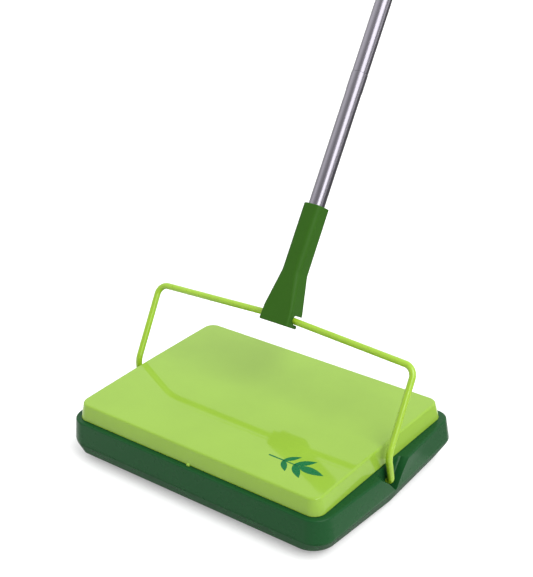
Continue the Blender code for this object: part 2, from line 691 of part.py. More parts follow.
def build():
    clear_scene()
    lime = make_material("lime_plastic", (0.42, 0.68, 0.09), 0.25)
    green = make_material("green_plastic", (0.03, 0.12, 0.05), 0.35)
    socket_green = make_material("socket_green_plastic", (0.035, 0.13, 0.03), 0.5)
    lime_paint = make_material("lime_painted_steel", (0.40, 0.66, 0.06), 0.3)
    aluminium = make_material("satin_aluminium", (0.55, 0.53, 0.57), 0.3, 1.0)
    steel = make_material("zinc_plated_steel", (0.6, 0.6, 0.58), 0.35, 1.0)
    black = make_material("black_plastic", (0.02, 0.02, 0.02), 0.5)
    rubber = make_material("grey_rubber", (0.06, 0.06, 0.06), 0.8)
    nylon = make_material("natural_nylon", (0.75, 0.73, 0.66), 0.45)
    bristle = make_material("black_bristle", (0.015, 0.015, 0.015), 0.7)

    make_base(green)
    make_cover(lime)
    for label, side in SIDES.items():
        make_bracket(f"wheel_bracket_{label}", side, black)
        make_bearing(label, side, nylon)
        make_wheel_spring(label, side, steel)

    brush_pivot = add_pivot("brush_pivot", (0.0, 0.0, BRUSH_Z))
    make_brush(brush_pivot, black, bristle, rubber, steel)

    handle_pivot = add_pivot("handle_pivot", (0.0, 0.0, PIVOT_Z))
    make_bail(handle_pivot, lime_paint)
    for label, side in SIDES.items():
        make_bail_fittings(label, side, handle_pivot, nylon, steel)
    along = Vector((0.0, sin(HANDLE_LEAN), cos(HANDLE_LEAN)))
    forward = Vector((0.0, -cos(HANDLE_LEAN), sin(HANDLE_LEAN)))
    foot = Vector(BAIL_PEAK) + forward * BAR_BEHIND - along * BAR_HEIGHT
    handle_axis = add_pivot("handle_axis", foot - handle_pivot.location, (-HANDLE_LEAN, 0.0, 0.0),
                            handle_pivot)
    make_socket(handle_axis, socket_green)
    make_tubes(handle_axis, aluminium)
    make_grip(handle_axis, socket_green)

    for end_label, end in ENDS.items():
        pan_pivot = add_pivot(f"{end_label}_pan_pivot", (0.0, end * PAN_HINGE[0], PAN_HINGE[1]))
        make_pan(end_label, end, pan_pivot, black)
        hinge = rod(f"{end_label}_pan_hinge_rod", -HINGE_ROD_END, HINGE_ROD_END, HINGE_ROD_RADIUS, steel, 10)
        place(hinge, y=end * PAN_HINGE[0], z=PAN_HINGE[1])
        for side_label, side in SIDES.items():
            label = f"{end_label}_{side_label}"
            wheel_pivot = add_pivot(f"wheel_pivot_{label}", (side * WHEEL_X, end * WHEEL_Y, WHEEL_RADIUS))
            make_wheel(label, side, wheel_pivot, black, rubber)
            make_wheel_axle(label, side, end * WHEEL_Y, steel)
            make_screw(f"cover_screw_{label}", side * SCREW_AT[0], end * SCREW_AT[1], steel)


build()
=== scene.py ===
"""The looks of the carpet sweeper: moulded shells, bent wire, drawn tube, brush and wheels.

Metres, +Z up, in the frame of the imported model. Sizes come from the CAD nodes' boxes, or are named here.
"""
from math import atan2, ceil, cos, pi, radians, sin, tau
from random import Random

import bmesh
import bpy
from mathutils import Matrix, Vector


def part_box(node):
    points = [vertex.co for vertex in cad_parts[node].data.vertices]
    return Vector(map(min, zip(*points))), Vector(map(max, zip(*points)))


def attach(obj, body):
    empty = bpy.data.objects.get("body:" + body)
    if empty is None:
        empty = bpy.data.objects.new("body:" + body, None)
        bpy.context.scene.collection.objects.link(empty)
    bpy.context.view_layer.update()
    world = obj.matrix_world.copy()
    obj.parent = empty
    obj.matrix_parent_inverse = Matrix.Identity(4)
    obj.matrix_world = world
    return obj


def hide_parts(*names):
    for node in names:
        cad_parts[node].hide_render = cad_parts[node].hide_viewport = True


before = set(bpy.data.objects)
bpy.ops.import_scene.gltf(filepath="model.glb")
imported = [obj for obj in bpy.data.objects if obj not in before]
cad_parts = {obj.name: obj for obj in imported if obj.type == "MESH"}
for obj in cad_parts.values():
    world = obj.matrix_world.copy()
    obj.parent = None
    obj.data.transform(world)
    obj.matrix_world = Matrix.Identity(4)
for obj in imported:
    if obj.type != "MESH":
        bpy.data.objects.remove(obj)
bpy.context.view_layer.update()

SIDES = {"left": -1, "right": 1}
ENDS = ("front", "rear")
OVERRUN = 0.001  # how far a cutter reaches past what it cuts, or a joined solid into its neighbour
SMOOTH_ANGLE = 32.0  # degrees: edges that turn more than this are shaded sharp

# Camera: where the sweeper is seen from.
CAMERA_AT = (0.6877, -0.8135, 0.7085)
CAMERA_RIGHT = (0.78494, 0.61802, -0.04380)
CAMERA_FORWARD = (-0.56954, 0.69193, -0.44369)
CAMERA_LENS = 80.7

# Studio: a white surround that is dim on the camera's side, and a broad key light from above right.
SURROUND_BRIGHT = 1.3
SURROUND_DIM = 0.42
SURROUND_RANGE = (-0.2, 0.7)  # cosines to the camera's side between which it dims
CAMERA_SIDE = (0.64, -0.77, 0.0)
KEY_FROM = (0.62, -0.08, 0.78)
KEY_LIGHT = 3.2
KEY_SPREAD = radians(45)
FLOOR_COLOUR = (0.62, 0.62, 0.62, 1.0)
FLOOR_GLOW = 0.33
FLOOR_REACH = 12.0
BLACK = (0.0, 0.0, 0.0, 1.0)
WHITE = (1.0, 1.0, 1.0, 1.0)
TUBE_MIDDLE = (0.0, 0.28, 0.42)

# Cards that show in reflections only: name, centre, the point it faces, width, height, brightness.
CARDS = [
    ("card_bright", (1.275, -0.23, 1.42), TUBE_MIDDLE, 1.3, 1.9, 3.0),
    ("card_glint", (1.10, -0.65, 0.50), (0.15, 0.0, 0.03), 0.40, 0.40, 9.0),
    ("card_right", (1.60, 2.09, 0.002), (1.60, 2.09, 1.0), 2.86, 4.0, 0.42),
    ("card_rear", (-1.5, 2.35, 0.003), (-1.5, 2.35, 1.0), 7.0, 4.0, 0.15),
    ("card_left", (-2.5, 0.75, 0.57), (0.0, 0.75, 0.57), 4.5, 1.14, 0.8),
    # The dim sheet under the base stands in, in reflections, for the floor's contact shadow there: painted
    # shade.
    ("card_painted_floor_shade", (0.0, 0.0, 0.001), (0.0, 0.0, 1.0), 0.32, 0.245, 0.32),
]

# Base. Its levels upwards are (height, half length at the corners, half depth, half length at the
# bail's pivots, then the corners' radii: front right, rear right, left).
LEDGE_TOP = 0.0440
BASE_LEVELS = [
    (0.0060, 0.1454, 0.1023, 0.1510, 0.0220, 0.0220, 0.0100),
    (0.0205, 0.1541, 0.1089, 0.1578, 0.0200, 0.0150, 0.0200),
    (LEDGE_TOP, 0.1512, 0.1069, 0.1584, 0.0190, 0.0150, 0.0190),
]
BASE_POINT_RADIUS = 0.03  # of the soft point in the middle of each side
BASE_WALL = 0.0025
BASE_FOOT_ROUND = 0.0008
BASE_KINK_ROUND = 0.0040
BASE_KINK_INSET = 0.0004
BASE_LEDGE_ROUND = 0.0014
BASE_EDGE = 0.00045
ROOF_OPENING = (0.1360, 0.0925, 0.0080)  # half length, half depth, corner radius
OPENING_HEIGHTS = (0.035, 0.046)
RIM = (0.1417, 0.0980, 0.0125)
RIM_WALL = 0.0020
RIM_TOP = 0.0480

# Notches: a wedge with its tip down, whose front and rear edges spread on the ledge towards the outside.
NOTCH_WALL = 0.1480
NOTCH_WALL_THICKNESS = 0.0025
NOTCH_TIP = (0.0005, 0.0205)  # y, z
NOTCH_INNER = (-0.0175, 0.0195)  # y of the front and rear edges at the wall
NOTCH_OUTER = (-0.0235, 0.0250)  # and at the outside
NOTCH_OUTER_X = 0.1585
NOTCH_CORNERS = [0.0015, 0.001, 0.001]
NOTCH_MOUTH = [(0.0, 0.0020), (0.0006, 0.0008), (0.0020, 0.0)]  # distance from the wall, and narrowing there
NOTCH_CUT = (0.006, 0.004)  # how far the cutter reaches past the base's side, and above its ledge
BLOCK_SIZE = (0.17, 0.0300, 0.06)  # outer end, half depth, height of what stays solid round a notch
BUSH_HOLE = (0.140, 0.155, 0.0056)  # inner end, outer end, radius

# Cover.
COVER_GAP = 0.0003
COVER_FOOT = (0.1456, 0.1019, 0.0120)  # half length, half depth, corner radius
COVER_HEAD = (0.1425, 0.0989, 0.0102)
COVER_EDGE = 0.0022
COVER_WALL = 0.0022
COVER_ROUND_STEPS = 10
COVER_FOOT_ROUND = [(0.0, 0.0004), (0.0003, 0.0001), (0.0009, 0.0001)]  # height above the foot, and inset
BOSS_RADIUS = 0.0040
PILOT_RADIUS = 0.0018
PILOT_TOP = 0.0580
NIB_REACH = 0.0016
NIB_HEIGHTS = (0.0030, 0.0010)  # at the wall, at the tip
COVER_CROWN = 0.0010  # how much lower the top is at its front and rear edges
CROWN_POWER = 1.5
CROWN_STEPS = 10
SINK_LINES = (0.0500, -0.0470)  # y of each
SINK_DEPTH = 0.00003
SINK_HALF = 0.0012

# Printed sprig: a stalk, and its leaves as (place along the stalk, turn in degrees, length).
SPRIG_CENTRE = Vector((0.096, -0.066))
STALK = [(-0.030, -0.0009), (0.006, -0.0006), (0.006, 0.0006), (-0.030, 0.0009)]
LEAVES = [(0.003, 0, 0.027), (-0.002, 42, 0.021), (-0.002, -42, 0.021), (-0.014, 48, 0.017),
          (-0.014, -48, 0.017)]
LEAF_WIDTH = 0.34  # of its length
LEAF_STEPS = 18
INK_ABOVE = 0.00003
INK_BELOW = 0.0001

# Handle. The bail's right half runs from its inner end to the middle of the crossbar. Heights of the
# socket, the tubes and the grip are measured along the handle, from just below the crossbar.
PIVOT = Vector((0.0, 0.0, 0.0280))
HANDLE_LEAN = radians(34.3)
BAIL_RADIUS = 0.0032
BAIL_POINTS = [(0.1395, 0.0, 0.0280), (0.1530, 0.0, 0.0280), (0.1532, -0.0046, 0.0585),
               (0.1537, 0.0380, 0.1293), (0.0, 0.0418, 0.1350)]
BAIL_BENDS = [0.0055, 0.022, 0.011, 0.040]
BAR_HEIGHT = 0.0069  # of the crossbar's middle, in the handle's own frame
BAR_BEHIND = 0.0014
WIRE_SIDES = 32
BEND_STEP = radians(6)
SOCKET_FOOT = -0.0012
SOCKET_TOP = 0.1180
SOCKET_SECTIONS = [  # height, width, depth, middle in depth, corner radius
    (SOCKET_FOOT, 0.0346, 0.0226, 0.0018, 0.0024),
    (0.0137, 0.0334, 0.0226, 0.0018, 0.0030),
    (0.0505, 0.0210, 0.0214, 0.0009, 0.0058),
    (SOCKET_TOP, 0.0208, 0.0210, 0.0007, 0.0058),
]
SOCKET_RINGS = [0.006, 0.010, 0.0125, 0.0137, 0.015, 0.018, 0.024, 0.032, 0.040, 0.045, 0.0485, 0.0495,
                0.0505, 0.0515, 0.0525, 0.056, 0.060, 0.080, 0.100]
SOCKET_SPREAD = 0.002  # how far above and below a kink in the sections is smoothed
SOCKET_ROUND = 0.0009
SOCKET_EDGE = 0.0005
SOCKET_BORE_START = 0.0104
SOCKET_BORE_FIT = 0.00025
HOOK_RADIUS = 0.0044
HOOK_STEPS = 16
HOOK_LIP = 0.0004
CHANNEL_WALLS = (0.0064, 0.0150)  # the channel's front wall below the hook, and its open rear
CHANNEL_BOTTOM = -0.003
CHANNEL_HALF = 0.022
TUBE_RADIUS = 0.00795
TUBE_WALL = 0.0008
TUBE_START = 0.0107
JOINT_HEIGHTS = [0.252, 0.477, 0.702, 0.927]
MOUTH_RADIUS = 0.0082
MOUTH_LENGTH = 0.020
MOUTH_FLARE = 0.0015
TUBE_GAP = 0.0003
SPIGOT_RADIUS = 0.0068
SPIGOT_LENGTH = 0.024
GRIP_START = 0.842
GRIP_COLLAR = [(GRIP_START, 0.0112), (0.8425, 0.0119), (0.8440, 0.0124), (0.8460, 0.0124), (0.8480, 0.0118),
               (0.8500, 0.0109)]  # height, radius
GRIP_BODY_START = 0.853
GRIP_BODY_LENGTH = 0.074
GRIP_BODY_RADIUS = 0.0108
GRIP_SWELL = 0.0007
GRIP_RINGS = 57
GRIP_RING_STEP = 0.0013
GRIP_GROOVE = 0.0005
GRIP_HEAD = [(0.930, 0.0107, 0.0109), (0.936, 0.0101, 0.0113), (0.942, 0.0091, 0.0117),
             (0.948, 0.0073, 0.0121), (0.954, 0.0058, 0.0123), (0.960, 0.0052, 0.0123),
             (0.966, 0.0050, 0.0121), (0.972, 0.0049, 0.0116), (0.977, 0.0048, 0.0106),
             (0.981, 0.0046, 0.0091), (0.984, 0.0041, 0.0069),
             (0.9855, 0.0032, 0.0045)]  # height, half thickness, half width
GRIP_FIT = 0.0003
HANG_HOLE = (0.966, 0.0055)  # height, radius

# Running gear.
WHEEL_RADIUS = 0.0250
TYRE_SEAT = 0.0210
WHEEL_WIDTH = 0.0110
AXLE_BORE = 0.0026
TYRE_FIT = 0.0003
RIM_STEPS = 144  # segments round a tyre or a disc
TREAD_DEPTH = 0.0006
TREAD_BAND = 0.0008
HUB_WEB = 0.0012
HUB_BOSS_RADIUS = 0.0055
HUB_CHAMFER = 0.0003
HUB_RIBS = 6
DISC_RADIUS = 0.0200
DISC_HALF = 0.0050
DISC_BORE = 0.0023
DISC_RECESS = 0.0030
DISC_EDGE = 0.0005
DISC_RIB = 0.0003
BRUSH_AXIS = Vector((0.0, 0.0, 0.0290))
CORE_RADIUS = 0.0120
BRISTLE_RADIUS = 0.0281
BRISTLE_ROWS = 4
BRISTLE_HALF = 0.1065
BRISTLE_SEED = 11
TUFTS = 46
STRANDS = 12
FILAMENT_RADII = (0.00020, 0.00013)  # at the root, at the tip
FILAMENT_SIDES = 4


# ---------------------------------------------------------------- materials

def tuned(colour, factor):
    """A colour made brighter or darker by a factor."""
    return tuple(channel * factor for channel in colour)


class Surface:
    """A Principled material that is built node by node on the object's own coordinates."""

    def __init__(self, name, **sockets):
        self.material = bpy.data.materials.new(name)
        self.material.use_nodes = True
        self.tree = self.material.node_tree
        self.shader = self.tree.nodes["Principled BSDF"]
        self.place = self.add("ShaderNodeTexCoord").outputs["Object"]
        for socket, value in sockets.items():
            self.shader.inputs[socket.replace("_", " ")].default_value = value

    def add(self, kind, **inputs):
        node = self.tree.nodes.new(kind)
        for key, value in inputs.items():
            socket = node.inputs[key.replace("_", " ")]
            if isinstance(value, bpy.types.NodeSocket):
                self.tree.links.new(value, socket)
            else:
                socket.default_value = value
        return node

    def noise(self, size, detail=3.0, roughness=0.5, stretch=(1.0, 1.0, 1.0)):
        """Noise whose lumps are about `size` metres across, stretched by factors along X, Y and Z."""
        mapping = self.add("ShaderNodeMapping", Vector=self.place)
        mapping.inputs["Scale"].default_value = [1.0 / (size * factor) for factor in stretch]
        return self.add("ShaderNodeTexNoise", Vector=mapping.outputs["Vector"], Scale=1.0, Detail=detail,
                        Roughness=roughness).outputs["Fac"]

    def ramp(self, value, low, high, start=0.35, end=0.65):
        """A value from low to high as the input goes from start to end."""
        node = self.add("ShaderNodeMapRange", Value=value)
        for key, number in (("From Min", start), ("From Max", end), ("To Min", low), ("To Max", high)):
            node.inputs[key].default_value = number
        return node.outputs["Result"]

    def mix(self, factor, first, second):
        node = self.tree.nodes.new("ShaderNodeMix")
        node.data_type = "RGBA"
        sockets = [s for s in node.inputs if s.enabled]
        for socket, value in zip(sockets, (factor, first, second)):
            if isinstance(value, bpy.types.NodeSocket):
                self.tree.links.new(value, socket)
            else:
                socket.default_value = value if isinstance(value, float) else (*value, 1.0)
        return next(s for s in node.outputs if s.enabled)

    def edges(self):
        """1 along convex edges, 0 on the flats."""
        geometry = self.add("ShaderNodeNewGeometry")
        return self.ramp(geometry.outputs["Pointiness"], 0.0, 1.0, 0.51, 0.56)

    def bumps(self, *layers):
        """Stacks (height, distance in metres, strength) layers of bump."""
        normal = None
        for height, distance, strength in layers:
            node = self.add("ShaderNodeBump", Height=height, Strength=strength, Distance=distance)
            if normal:
                self.tree.links.new(normal, node.inputs["Normal"])
            normal = node.outputs["Normal"]
        self.tree.links.new(normal, self.shader.inputs["Normal"])

    def set(self, socket, value):
        self.tree.links.new(value, self.shader.inputs[socket])


def moulded_plastic(name, colour, roughness, grain, wave=0.0, gloss=0.5):
    """Injection-moulded plastic: faint flow in the colour, fine scuffs, uneven gloss and grain."""
    surface = Surface(name, Specular_IOR_Level=gloss)
    flow = surface.ramp(surface.noise(0.05, 2.0), 0.0, 1.0)
    body = surface.mix(flow, tuned(colour, 0.98), tuned(colour, 1.02))
    scuffs = surface.ramp(surface.noise(0.0012, 4.0, 0.6, stretch=(9.0, 1.0, 1.0)), 0.0, 0.3, 0.62, 0.75)
    surface.set("Base Color", surface.mix(scuffs, body, tuned(colour, 1.2)))
    smudges = surface.noise(0.018, 4.0, 0.6)
    surface.set("Roughness", surface.ramp(smudges, roughness * 0.85, roughness * 1.2, 0.3, 0.7))
    layers = [(surface.noise(0.0012, 2.0), 0.00002, grain)]
    if wave:
        layers.append((surface.noise(0.06, 1.0, 0.4), wave, 1.0))
    surface.bumps(*layers)
    return surface.material


def powder_coat(name, colour):
    """Powder-coated wire: orange peel, and a slightly uneven shade."""
    surface = Surface(name)
    cloud = surface.ramp(surface.noise(0.02, 2.0), 0.0, 1.0)
    surface.set("Base Color", surface.mix(cloud, tuned(colour, 0.96), tuned(colour, 1.02)))
    surface.set("Roughness", surface.ramp(surface.noise(0.006, 3.0), 0.26, 0.34))
    surface.bumps((surface.noise(0.0011, 1.0), 0.00002, 0.2))
    return surface.material


def drawn_metal(name, colour, roughness, along):
    """Satin drawn metal: fine scratches along the tube's own direction, and faint handling marks."""
    surface = Surface(name, Metallic=1.0)
    scratches = surface.noise(0.0005, 3.0, 0.6, stretch=along)
    smears = surface.noise(0.02, 3.0)
    shade = surface.ramp(scratches, 0.0, 1.0, 0.3, 0.7)
    surface.set("Base Color", surface.mix(shade, tuned(colour, 0.96), colour))
    surface.set("Roughness", surface.ramp(smears, roughness * 0.93, roughness * 1.07))
    surface.bumps((scratches, 0.00001, 0.2))
    return surface.material


def zinc(name):
    """Zinc-plated steel: a cool satin grey with cloudy patches."""
    surface = Surface(name, Metallic=1.0)
    clouds = surface.ramp(surface.noise(0.004, 3.0), 0.0, 1.0)
    surface.set("Base Color", surface.mix(clouds, (0.52, 0.52, 0.50), (0.66, 0.67, 0.66)))
    surface.set("Roughness", surface.ramp(surface.noise(0.002, 3.0), 0.28, 0.42))
    surface.bumps((surface.noise(0.0004, 2.0), 0.00001, 0.3))
    return surface.material


def rubber(name, colour):
    """Moulded rubber: matt, with dusty patches, and paler where its edges are scuffed."""
    surface = Surface(name)
    dust = surface.ramp(surface.noise(0.008, 4.0), 0.0, 0.5, 0.4, 0.75)
    body = surface.mix(dust, colour, tuned(colour, 1.8))
    surface.set("Base Color", surface.mix(surface.edges(), body, tuned(colour, 2.3)))
    surface.set("Roughness", surface.ramp(surface.noise(0.003, 3.0), 0.68, 0.88))
    surface.bumps((surface.noise(0.0005, 3.0), 0.00005, 0.4))
    return surface.material


def nylon_bristle(name):
    """Black nylon filament: slightly glossy along each strand."""
    surface = Surface(name)
    strand = surface.ramp(surface.noise(0.0012, 1.0), 0.0, 1.0)
    surface.set("Base Color", surface.mix(strand, (0.010, 0.010, 0.011), (0.035, 0.034, 0.033)))
    surface.set("Roughness", surface.ramp(surface.noise(0.004, 2.0), 0.35, 0.55))
    surface.bumps((surface.noise(0.0008, 1.0), 0.00002, 0.3))
    return surface.material


def printed_ink(name, colour):
    """Pad-printed ink: even, a little thin and pinholed."""
    surface = Surface(name, Specular_IOR_Level=0.15)
    thin = surface.ramp(surface.noise(0.0012, 4.0), 0.0, 0.2, 0.5, 0.8)
    surface.set("Base Color", surface.mix(thin, colour, tuned(colour, 1.6)))
    surface.set("Roughness", surface.ramp(surface.noise(0.003, 2.0), 0.26, 0.34))
    surface.bumps((surface.noise(0.0005, 2.0), 0.00001, 0.2))
    return surface.material


# ---------------------------------------------------------------- meshes

def add_piece(name, bm, material, angle=SMOOTH_ANGLE):
    """A smooth-shaded piece from a bmesh, its faces turned outwards."""
    bmesh.ops.recalc_face_normals(bm, faces=bm.faces)
    mesh = bpy.data.meshes.new(name)
    bm.to_mesh(mesh)
    bm.free()
    piece = bpy.data.objects.new(name, mesh)
    bpy.context.scene.collection.objects.link(piece)
    if material:
        mesh.materials.append(material)
    shade(piece, angle)
    return piece


def shade(piece, angle=SMOOTH_ANGLE):
    piece.data.shade_smooth()
    piece.data.set_sharp_from_angle(angle=radians(angle))


def loft(name, rings, material=None):
    """A closed solid through rings of points, each with the same number of points."""
    bm = bmesh.new()
    layers = [[bm.verts.new(point) for point in ring] for ring in rings]
    for low, high in zip(layers, layers[1:]):
        for i, vert in enumerate(low):
            j = (i + 1) % len(low)
            bm.faces.new((vert, low[j], high[j], high[i]))
    bm.faces.new(layers[0])
    bm.faces.new(layers[-1])
    bmesh.ops.triangulate(bm, faces=bm.faces)
    return add_piece(name, bm, material)


def box(name, low, high):
    (x0, y0, z0), (x1, y1, z1) = low, high
    return loft(name, [[(x0, y0, z), (x1, y0, z), (x1, y1, z), (x0, y1, z)] for z in (z0, z1)])


def across(name, section, half):
    """A solid of one (y, z) section, as far to the left as to the right."""
    return loft(name, [[(x, y, z) for y, z in section] for x in (-half, half)])


def turned(name, profile, material, segments):
    """A solid turned about X, from its (x, radius) profile: closed unless it ends on the axis."""
    bm = bmesh.new()
    verts = [bm.verts.new((x, radius, 0.0)) for x, radius in profile]
    edges = [bm.edges.new(pair) for pair in zip(verts, verts[1:])]
    if profile[0][1] > 0.0:
        edges.append(bm.edges.new((verts[-1], verts[0])))
    bmesh.ops.spin(bm, geom=verts + edges, axis=(1, 0, 0), cent=(0, 0, 0), angle=tau, steps=segments,
                   use_merge=True)
    bmesh.ops.remove_doubles(bm, verts=bm.verts, dist=1e-6)
    return add_piece(name, bm, material)


def rod(name, x0, x1, radius, segments=48):
    """A plain cylinder along X."""
    return turned(name, [(x0, 0.0), (x0, radius), (x1, radius), (x1, 0.0)], None, segments)


def place(piece, x=0.0, y=0.0, z=0.0):
    piece.data.transform(Matrix.Translation((x, y, z)))
    return piece


def combine(piece, tool, operation):
    modifier = piece.modifiers.new("boolean", "BOOLEAN")
    modifier.operation = operation
    modifier.solver = "EXACT"
    modifier.object = tool
    apply_modifiers(piece)
    shade(piece)
    bpy.data.objects.remove(tool, do_unlink=True)


def apply_modifiers(piece):
    evaluated = piece.evaluated_get(bpy.context.evaluated_depsgraph_get())
    mesh = bpy.data.meshes.new_from_object(evaluated)
    piece.modifiers.clear()
    piece.data = mesh


def even_shading(piece):
    """Keeps large flats flat beside their rounded edges."""
    weights = piece.modifiers.new("weighted normals", "WEIGHTED_NORMAL")
    weights.keep_sharp = True
    apply_modifiers(piece)


def cut(piece, *tools):
    for tool in tools:
        combine(piece, tool, "DIFFERENCE")


def join(piece, *tools):
    for tool in tools:
        combine(piece, tool, "UNION")


def soften(piece, width, segments, angle):
    """Rounds the sharp edges that a mould never leaves quite sharp."""
    bevel = piece.modifiers.new("soft edges", "BEVEL")
    bevel.width = width
    bevel.segments = segments
    bevel.limit_method = "ANGLE"
    bevel.angle_limit = radians(angle)
    bevel.harden_normals = True
    apply_modifiers(piece)
    shade(piece)


def circle(centre, side, over, radius, sides):
    """Points round a centre, in the plane of two unit vectors."""
    turns = [tau * k / sides for k in range(sides)]
    return [centre + (side * cos(turn) + over * sin(turn)) * radius for turn in turns]


def sweep(name, path, radius, material):
    """A round wire along a path, with domed ends."""
    rings = []
    side = None
    for i, point in enumerate(path):
        along = (path[min(i + 1, len(path) - 1)] - path[max(i - 1, 0)]).normalized()
        side = along.orthogonal() if side is None else side - along * side.dot(along)
        side.normalize()
        rings.append(circle(point, side, along.cross(side), radius, WIRE_SIDES))
    for end, step in ((0, 1), (-1, -1)):
        centre = path[end]
        outward = (centre - path[end + step]).normalized()
        dome = [[centre + (point - centre) * cos(bend) + outward * (0.35 * radius * sin(bend))
                 for point in rings[end]] for bend in (radians(35), radians(65))]
        rings = list(reversed(dome)) + rings if end == 0 else rings + dome
    return loft(name, rings, material)


# ---------------------------------------------------------------- outlines

def arc_points(start, corner, end, radius, steps):
    """The round that replaces a corner between two straight runs."""
    corner, start, end = Vector(corner), Vector(start), Vector(end)
    inward, outward = (start - corner).normalized(), (end - corner).normalized()
    half = inward.angle(outward) / 2
    centre = corner + (inward + outward).normalized() * (radius / sin(half))
    first = corner + inward * (radius * cos(half) / sin(half)) - centre
    last = corner + outward * (radius * cos(half) / sin(half)) - centre
    turn = first.angle(last)
    return [centre + (first * sin(turn * (1 - k / steps)) + last * sin(turn * k / steps)) / sin(turn)
            for k in range(steps + 1)]


def rounded(corners, radii, steps):
    """A closed outline with its corners rounded."""
    points = []
    for i, (corner, radius) in enumerate(zip(corners, radii)):
        points += arc_points(corners[i - 1], corner, corners[(i + 1) % len(corners)], radius, steps)
    return points


def rectangle(half_x, half_y, radius, steps=14):
    corners = [(half_x, -half_y), (half_x, half_y), (-half_x, half_y), (-half_x, -half_y)]
    return rounded(corners, [radius] * 4, steps)


def base_outline(z, inset, steps=14):
    """The base at a height, pulled in by an inset: its ends bulge to a soft point at the bail's pivots."""
    sizes = between(BASE_LEVELS, max(z, BASE_LEVELS[0][0]))
    half_length, half_depth, half_middle, front_right, rear_right, left = [size - inset for size in sizes]
    corners = [(half_length, -half_depth), (half_middle, 0.0), (half_length, half_depth),
               (-half_length, half_depth), (-half_middle, 0.0), (-half_length, -half_depth)]
    radii = [front_right, BASE_POINT_RADIUS, rear_right, left, BASE_POINT_RADIUS, left]
    return at_height(rounded(corners, radii, steps), z)


def at_height(outline, z):
    return [(x, y, z) for x, y in outline]


def bent_path(points, radii):
    """An open path through 3-D points, with each inner corner bent to its radius."""
    path = [Vector(points[0])]
    for before, corner, after, radius in zip(points, points[1:], points[2:], radii):
        turn = pi - (Vector(before) - Vector(corner)).angle(Vector(after) - Vector(corner))
        path += arc_points(before, corner, after, radius, max(3, ceil(turn / BEND_STEP)))
    return path + [Vector(points[-1])]


def between(levels, z):
    """Level values at a height, read along straight runs between the levels."""
    for low, high in zip(levels, levels[1:]):
        if z <= high[0]:
            break
    share = (z - low[0]) / (high[0] - low[0])
    return [a + (b - a) * share for a, b in zip(low[1:], high[1:])]


# ---------------------------------------------------------------- body

def base_rings():
    """The base's outer skin: foot, tucked-in band, kink, wall, and the rounded lip of its ledge."""
    foot, kink = BASE_LEVELS[0][0], BASE_LEVELS[1][0]
    lip = LEDGE_TOP - BASE_LEDGE_ROUND
    rings = []
    for bend in (0, 30, 60, 90):
        z = foot + BASE_FOOT_ROUND * (1 - cos(radians(bend)))
        rings.append(base_outline(z, BASE_FOOT_ROUND * (1 - sin(radians(bend)))))
    for share in (0.0, 0.25, 0.5, 0.75, 1.0):
        z = kink + BASE_KINK_ROUND * (share - 0.5)
        rings.append(base_outline(z, BASE_KINK_INSET * (1 - abs(2 * share - 1))))
    for bend in (0, 18, 36, 54, 72, 90):
        z = lip + BASE_LEDGE_ROUND * sin(radians(bend))
        rings.append(base_outline(z, BASE_LEDGE_ROUND * (1 - cos(radians(bend)))))
    return rings


def notch_cutter(side):
    """The wedge cut from one side of the base for the bail, wider towards the outside."""
    tip_y, tip_z = NOTCH_TIP
    beyond, above = NOTCH_CUT
    top = LEDGE_TOP + above
    stations = [(NOTCH_WALL + out, less) for out, less in NOTCH_MOUTH]
    stations.append((NOTCH_OUTER_X + beyond, 0.0))
    rings = []
    for x, shrink in stations:
        reach = (x - NOTCH_WALL) / (NOTCH_OUTER_X - NOTCH_WALL)
        rise = (top - tip_z) / (LEDGE_TOP - tip_z)
        front, rear = [inner + (outer - inner) * reach for inner, outer in zip(NOTCH_INNER, NOTCH_OUTER)]
        corners = [(tip_y, tip_z + shrink), (tip_y + (rear - tip_y) * rise - shrink, top),
                   (tip_y + (front - tip_y) * rise + shrink, top)]
        rings.append([(side * x, y, z) for y, z in rounded(corners, NOTCH_CORNERS, 4)])
    return loft("notch_cutter", rings)


def base_hollow():
    """The space inside the base's walls, up to the underside of its ledge."""
    heights = (BASE_LEVELS[0][0] - OVERRUN, BASE_LEVELS[1][0], LEDGE_TOP - BASE_WALL)
    hollow = loft("hollow", [base_outline(z, BASE_WALL, 8) for z in heights])
    inside = NOTCH_WALL - NOTCH_WALL_THICKNESS
    outside, half_depth, height = BLOCK_SIZE
    for side in SIDES.values():
        x0, x1 = sorted((side * inside, side * outside))
        cut(hollow, box("block", (x0, -half_depth, 0.0), (x1, half_depth, height)))
    return hollow


def make_base(material):
    """The base: hollow walls, a ledge with an upright rim inside the cover, and a notch in each side."""
    base = loft("base_moulding", base_rings(), material)
    opening = rectangle(*ROOF_OPENING)
    cut(base, base_hollow(), loft("opening", [at_height(opening, z) for z in OPENING_HEIGHTS]))
    rim_foot = LEDGE_TOP - OVERRUN
    rim = loft("rim", [at_height(rectangle(*RIM), z) for z in (rim_foot, RIM_TOP)])
    rim_inner = rectangle(*[size - RIM_WALL for size in RIM])
    cut(rim, loft("rim_inner", [at_height(rim_inner, z) for z in (rim_foot - OVERRUN, RIM_TOP + OVERRUN)]))
    join(base, rim)
    inner_end, outer_end, radius = BUSH_HOLE
    for side in SIDES.values():
        hole = place(rod("bush_hole", side * inner_end, side * outer_end, radius), z=PIVOT.z)
        cut(base, notch_cutter(side), hole)
    soften(base, BASE_EDGE, 2, 38.0)
    finish_piece(base, "body", "base_shell")


